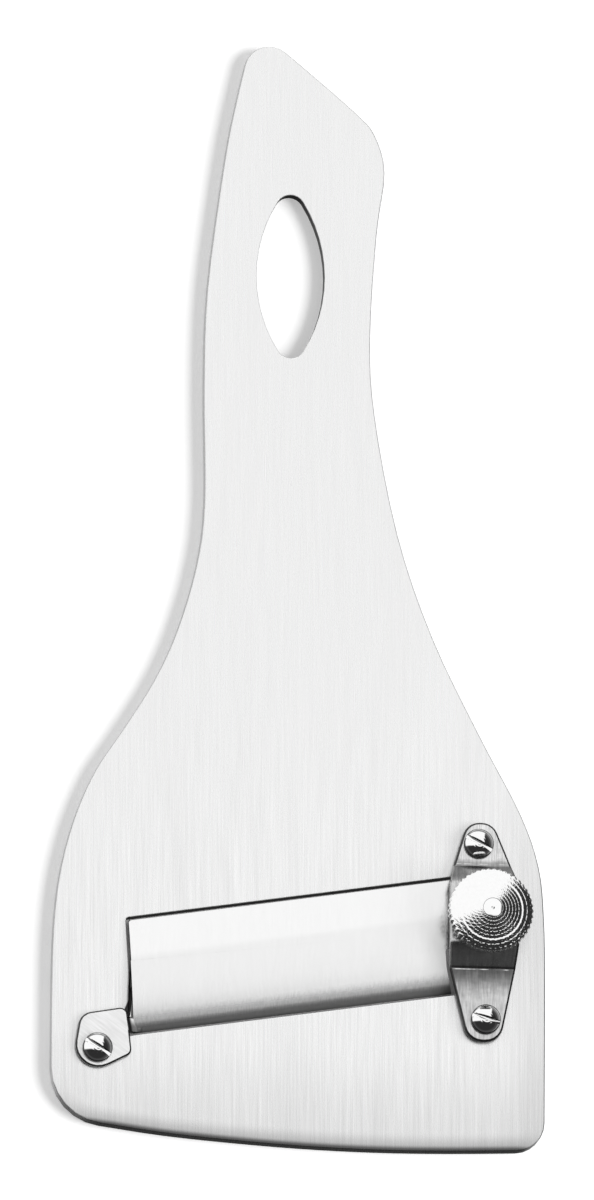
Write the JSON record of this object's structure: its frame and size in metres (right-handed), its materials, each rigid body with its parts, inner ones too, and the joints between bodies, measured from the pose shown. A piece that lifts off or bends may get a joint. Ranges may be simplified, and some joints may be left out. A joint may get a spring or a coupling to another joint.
{
  "type": "truffle slicer",
  "caption": "Flat steel truffle slicer: a handled plate with a hang hole, a curved blade in a slanted slot and a knurled knob on a bent bridge that sets the cut.",
  "frame": {"origin": "middle of the bounding box, on the plate's flat back", "axes": "+Y along the plate towards the handle's tip, +Z out of the plate towards the knob, +X towards the bridge with the handle up"},
  "size_m": [0.0878, 0.2, 0.0119],
  "materials": {
    "brushed_plate": "brushed along the handle",
    "satin_blade": "finely ground",
    "pressed_bridge": "brushed and bent",
    "polished_steel": "polished"
  },
  "bodies": {
    "body": {"body_plate": "brushed_plate", "bridge": "pressed_bridge", "bridge_screw_upper": "polished_steel", "bridge_screw_lower": "polished_steel", "blade_screw": "polished_steel"},
    "blade": {"blade": "satin_blade"},
    "carrier": {"thrust_washer": "polished_steel"},
    "knob": {"adjusting_knob": "polished_steel", "adjusting_spindle": "polished_steel", "retaining_clip": "polished_steel"}
  },
  "joints": [
    {"name": "knob_travel", "type": "slide", "parent": "body", "child": "carrier", "axis": [0, 0, 1], "range_m": [-0.00052, 0.00105]},
    {"name": "knob_turn", "type": "hinge", "parent": "carrier", "child": "knob", "pos_m": [0.03338, -0.05766, 0.00785], "axis": [0, 0, 1], "range_deg": [-270, 540]},
    {"name": "blade_tilt", "type": "hinge", "parent": "body", "child": "blade", "pos_m": [-0.03584, -0.08308, 0.00315], "axis": [0.3448, -0.9387, 0], "range_deg": [-0.42, 0.83]}
  ],
  "couplings": [
    {"joint": "knob_turn", "follows": "knob_travel", "rad_per_m": 8975.9},
    {"joint": "blade_tilt", "follows": "knob_travel", "rad_per_m": 13.562}
  ]
}
